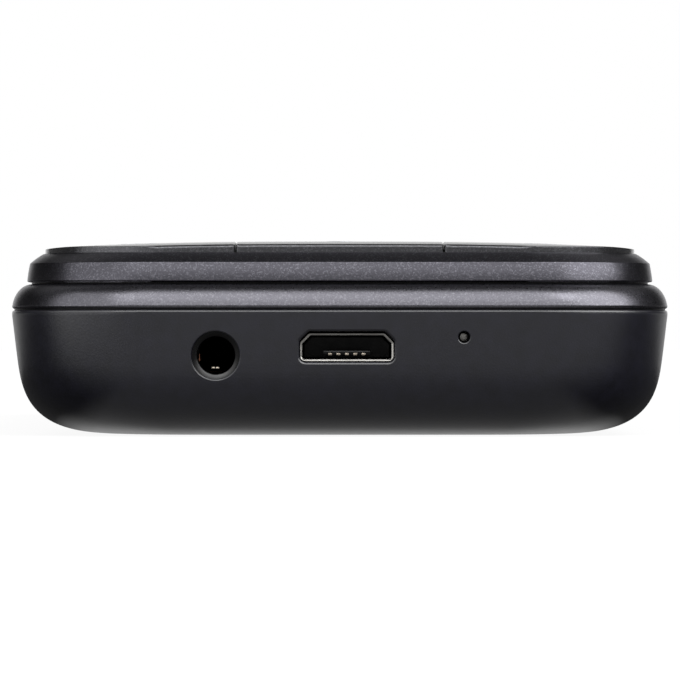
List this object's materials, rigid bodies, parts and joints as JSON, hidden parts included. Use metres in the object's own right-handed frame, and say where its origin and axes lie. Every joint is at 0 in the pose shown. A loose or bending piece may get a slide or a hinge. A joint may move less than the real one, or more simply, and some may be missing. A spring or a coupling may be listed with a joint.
{
  "type": "mobile phone",
  "caption": "Candybar mobile phone with number keys, a navigation ring, a display window, a lift-off rear cover, a headphone socket and a charging socket.",
  "frame": {"origin": "centre of the body's outline, on the back face that it lies on", "axes": "+X across the phone, +Y along it towards the earpiece with the sockets at -Y, +Z from the back to the keys"},
  "size_m": [0.052, 0.122, 0.0154],
  "materials": {
    "graphite_plastic": "soft satin graphite plastic with fine metallic flake",
    "flake_paint": "satin dark grey paint with metallic flake",
    "window_black": "polished black window",
    "inner_plastic": "moulded black plastic",
    "seal_rubber": "soft black silicone",
    "socket_steel": "plated steel",
    "tin_plate": "tinned sheet",
    "gold_plate": "gold-plated contact spring",
    "board_laminate": "solder mask over laminate",
    "battery_wrap": "bare grey film wrap",
    "panel_glass": "dark display glass, switched off"
  },
  "bodies": {
    "phone": {"front_housing": "graphite_plastic", "front_bezel": "flake_paint", "display_window": "window_black", "rear_chassis": "inner_plastic", "audio_jack": "inner_plastic", "usb_tongue": "inner_plastic", "battery_connector": "inner_plastic", "camera_module": "inner_plastic", "loudspeaker": "inner_plastic", "keymat": "seal_rubber", "display_gasket": "seal_rubber", "mic_boot": "seal_rubber", "usb_shell": "socket_steel", "earpiece_mesh": "socket_steel", "microphone": "socket_steel", "earpiece": "socket_steel", "chassis_screw_1": "socket_steel", "chassis_screw_2": "socket_steel", "chassis_screw_3": "socket_steel", "chassis_screw_4": "socket_steel", "chassis_screw_5": "socket_steel", "chassis_screw_6": "socket_steel", "display_tray": "tin_plate", "dome_sheet": "tin_plate", "rf_shield": "tin_plate", "sim_socket_1": "tin_plate", "sim_socket_2": "tin_plate", "memory_card_socket": "tin_plate", "vibration_motor": "tin_plate", "jack_spring": "gold_plate", "antenna": "gold_plate", "main_board": "board_laminate", "battery": "battery_wrap", "display_panel": "panel_glass"},
    "rear_cover": {"rear_cover": "graphite_plastic", "camera_window": "window_black"},
    "nav_gimbal": {"nav_gimbal": "inner_plastic"},
    "nav_ring": {"nav_ring": "flake_paint"},
    "nav_select": {"nav_select": "flake_paint"},
    "vibration_weight": {"vibration_weight": "socket_steel"},
    "key_1": {"key_1": "flake_paint"},
    "key_2": {"key_2": "flake_paint"},
    "key_3": {"key_3": "flake_paint"},
    "key_4": {"key_4": "flake_paint"},
    "key_5": {"key_5": "flake_paint"},
    "key_6": {"key_6": "flake_paint"},
    "key_7": {"key_7": "flake_paint"},
    "key_8": {"key_8": "flake_paint"},
    "key_9": {"key_9": "flake_paint"},
    "key_star": {"key_star": "flake_paint"},
    "key_0": {"key_0": "flake_paint"},
    "key_hash": {"key_hash": "flake_paint"},
    "soft_key_left": {"soft_key_left": "flake_paint"},
    "soft_key_right": {"soft_key_right": "flake_paint"},
    "call_key": {"call_key": "flake_paint"},
    "end_key": {"end_key": "flake_paint"}
  },
  "joints": [
    {"name": "key_1_press", "type": "slide", "parent": "phone", "child": "key_1", "axis": [0, 0, -1], "range_m": [0, 0.00035], "stiffness_N_per_m": 900},
    {"name": "key_2_press", "type": "slide", "parent": "phone", "child": "key_2", "axis": [0, 0, -1], "range_m": [0, 0.00035], "stiffness_N_per_m": 900},
    {"name": "key_3_press", "type": "slide", "parent": "phone", "child": "key_3", "axis": [0, 0, -1], "range_m": [0, 0.00035], "stiffness_N_per_m": 900},
    {"name": "key_4_press", "type": "slide", "parent": "phone", "child": "key_4", "axis": [0, 0, -1], "range_m": [0, 0.00035], "stiffness_N_per_m": 900},
    {"name": "key_5_press", "type": "slide", "parent": "phone", "child": "key_5", "axis": [0, 0, -1], "range_m": [0, 0.00035], "stiffness_N_per_m": 900},
    {"name": "key_6_press", "type": "slide", "parent": "phone", "child": "key_6", "axis": [0, 0, -1], "range_m": [0, 0.00035], "stiffness_N_per_m": 900},
    {"name": "key_7_press", "type": "slide", "parent": "phone", "child": "key_7", "axis": [0, 0, -1], "range_m": [0, 0.00035], "stiffness_N_per_m": 900},
    {"name": "key_8_press", "type": "slide", "parent": "phone", "child": "key_8", "axis": [0, 0, -1], "range_m": [0, 0.00035], "stiffness_N_per_m": 900},
    {"name": "key_9_press", "type": "slide", "parent": "phone", "child": "key_9", "axis": [0, 0, -1], "range_m": [0, 0.00035], "stiffness_N_per_m": 900},
    {"name": "key_star_press", "type": "slide", "parent": "phone", "child": "key_star", "axis": [0, 0, -1], "range_m": [0, 0.00035], "stiffness_N_per_m": 900},
    {"name": "key_0_press", "type": "slide", "parent": "phone", "child": "key_0", "axis": [0, 0, -1], "range_m": [0, 0.00035], "stiffness_N_per_m": 900},
    {"name": "key_hash_press", "type": "slide", "parent": "phone", "child": "key_hash", "axis": [0, 0, -1], "range_m": [0, 0.00035], "stiffness_N_per_m": 900},
    {"name": "soft_key_left_press", "type": "slide", "parent": "phone", "child": "soft_key_left", "axis": [0, 0, -1], "range_m": [0, 0.00035], "stiffness_N_per_m": 900},
    {"name": "soft_key_right_press", "type": "slide", "parent": "phone", "child": "soft_key_right", "axis": [0, 0, -1], "range_m": [0, 0.00035], "stiffness_N_per_m": 900},
    {"name": "call_key_press", "type": "slide", "parent": "phone", "child": "call_key", "axis": [0, 0, -1], "range_m": [0, 0.00035], "stiffness_N_per_m": 900},
    {"name": "end_key_press", "type": "slide", "parent": "phone", "child": "end_key", "axis": [0, 0, -1], "range_m": [0, 0.00035], "stiffness_N_per_m": 900},
    {"name": "nav_select_press", "type": "slide", "parent": "phone", "child": "nav_select", "axis": [0, 0, -1], "range_m": [0, 0.00035], "stiffness_N_per_m": 900},
    {"name": "nav_tilt_left_right", "type": "hinge", "parent": "phone", "child": "nav_gimbal", "pos_m": [0, -0.01035, 0.0128], "axis": [0, 1, 0], "range_deg": [-1.5, 1.5], "stiffness_Nm_per_rad": 0.05},
    {"name": "nav_tilt_up_down", "type": "hinge", "parent": "nav_gimbal", "child": "nav_ring", "pos_m": [0, -0.01035, 0.0128], "axis": [1, 0, 0], "range_deg": [-1.5, 1.5], "stiffness_Nm_per_rad": 0.05},
    {"name": "rear_cover_lift", "type": "slide", "parent": "phone", "child": "rear_cover", "axis": [0, 0, -1], "range_m": [0, 0.012]},
    {"name": "vibration_spin", "type": "hinge", "parent": "phone", "child": "vibration_weight", "pos_m": [0.0126, 0.033, 0.005], "axis": [1, 0, 0], "continuous": true}
  ]
}
